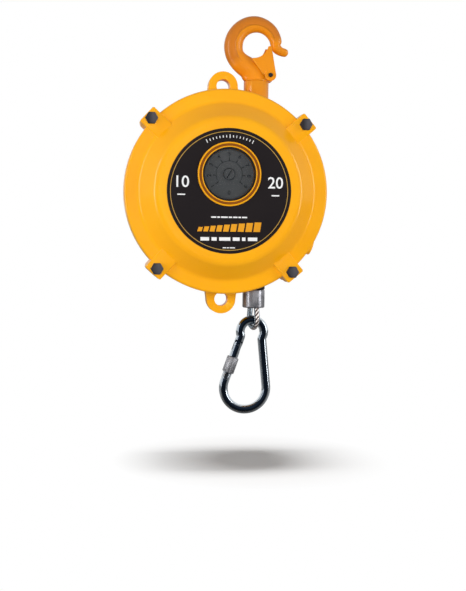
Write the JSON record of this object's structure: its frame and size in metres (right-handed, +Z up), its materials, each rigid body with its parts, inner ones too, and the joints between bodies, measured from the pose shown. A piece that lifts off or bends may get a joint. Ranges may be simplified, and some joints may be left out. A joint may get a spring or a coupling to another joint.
{
  "type": "spring balancer",
  "caption": "Spring balancer: round two-part case with a dial window and bolt ears, latched swivel hook above, wire rope with ferrule and screw-lock snap hook below.",
  "frame": {"origin": "top of the inside of the suspension hook's eye, where the support bears", "axes": "+Z up along the line of hook, rope and snap hook; label and dial face -Y; the case hangs to the -X side"},
  "size_m": [0.239, 0.1428, 0.4824],
  "materials": {
    "yellow_enamel": "glossy orange-yellow enamel on die-cast alloy",
    "orange_enamel": "glossy orange enamel on forged steel",
    "black_label": "satin black plate with a thin gold line",
    "clear_cover": "clear pressed window",
    "dial_grey": "dark grey moulding",
    "black_steel": "blackened bolt steel",
    "plain_steel": "machined steel",
    "plated_steel": "bright zinc plate",
    "spring_steel": "blued spring strip",
    "gear_bronze": "machined bronze",
    "cast_alloy": "bare cast alloy",
    "brushed_alloy": "brushed alloy",
    "rope_steel": "stranded wire rope",
    "black_rubber": "moulded rubber",
    "gasket_sheet": "pressed fibre sheet",
    "guide_nylon": "turned black nylon"
  },
  "bodies": {
    "hook_body": {"hook": "orange_enamel", "latch_pin": "black_steel", "stem_nut": "plain_steel", "thrust_washer": "plain_steel", "stem_split_pin": "plain_steel"},
    "latch_body": {"latch": "orange_enamel", "latch_spring": "spring_steel"},
    "case_body": {"front_case": "yellow_enamel", "rear_case": "yellow_enamel", "case_gasket": "gasket_sheet", "label_plate": "black_label", "window_cover": "clear_cover", "case_bolts": "black_steel", "front_bush": "gear_bronze", "rear_bush": "gear_bronze", "worm_bush": "gear_bronze", "hook_socket": "orange_enamel", "socket_pin": "plain_steel", "rope_guide": "guide_nylon", "rope_lead": "rope_steel"},
    "adjuster_body": {"spring_arbor": "plain_steel", "wheel_key": "plain_steel", "dial_plate": "dial_grey", "dial_screw": "dial_grey", "worm_wheel": "gear_bronze"},
    "worm_body": {"worm_shaft": "plain_steel"},
    "drum_body": {"rope_drum": "cast_alloy", "rope_windings": "rope_steel", "drum_bearing_front": "plain_steel", "drum_bearing_rear": "plain_steel", "drum_cover": "plain_steel", "drum_cover_screws": "plain_steel", "spiral_spring": "spring_steel"},
    "load_body": {"rope_drop": "rope_steel", "rubber_buffer": "black_rubber", "rope_stop": "brushed_alloy", "rope_loop": "rope_steel", "thimble": "plated_steel"},
    "snap_body": {"snap_hook": "plated_steel", "gate_rivet": "plated_steel"},
    "gate_body": {"gate": "plated_steel", "gate_spring": "spring_steel"},
    "sleeve_body": {"lock_sleeve": "plated_steel"}
  },
  "joints": [
    {"name": "hook_swivel", "type": "hinge", "parent": "hook_body", "child": "case_body", "pos_m": [0, 0, -0.0585], "axis": [0, 0, 1], "continuous": true},
    {"name": "latch_hinge", "type": "hinge", "parent": "hook_body", "child": "latch_body", "pos_m": [0.0155, 0, -0.052], "axis": [0, -1, 0], "range_deg": [0, 28], "stiffness_Nm_per_rad": 0.03, "springref_deg": -45.84},
    {"name": "drum_spin", "type": "hinge", "parent": "case_body", "child": "drum_body", "pos_m": [-0.041, 0, -0.1745], "axis": [0, 1, 0], "range_deg": [0, 1888], "stiffness_Nm_per_rad": 0.1, "springref_deg": -3838.82, "deforming": ["rope_lead"]},
    {"name": "rope_travel", "type": "slide", "parent": "case_body", "child": "load_body", "axis": [0, 0, -1], "range_m": [0, 1.5], "deforming": ["rope_drop"]},
    {"name": "wheel_turn", "type": "hinge", "parent": "case_body", "child": "adjuster_body", "pos_m": [-0.041, 0, -0.1745], "axis": [0, 1, 0], "range_deg": [0, 300]},
    {"name": "worm_turn", "type": "hinge", "parent": "case_body", "child": "worm_body", "pos_m": [-0.05565, -0.04, -0.21705], "axis": [0.9455, 0, -0.3256], "range_deg": [0, 10800]},
    {"name": "snap_swing", "type": "hinge", "parent": "load_body", "child": "snap_body", "pos_m": [0, 0, -0.3474], "axis": [1, 0, 0], "range_deg": [-25, 25]},
    {"name": "gate_hinge", "type": "hinge", "parent": "snap_body", "child": "gate_body", "pos_m": [-0.01902, 0, -0.37848], "axis": [0, -1, 0], "range_deg": [0, 35], "stiffness_Nm_per_rad": 0.02, "springref_deg": -45.84},
    {"name": "sleeve_travel", "type": "slide", "parent": "gate_body", "child": "sleeve_body", "axis": [-0.3322, 0, -0.9432], "range_m": [0, 0.013]}
  ],
  "couplings": [
    {"joint": "rope_travel", "follows": "drum_spin", "m_per_rad": 0.0455},
    {"joint": "worm_turn", "follows": "wheel_turn", "ratio": 36}
  ]
}
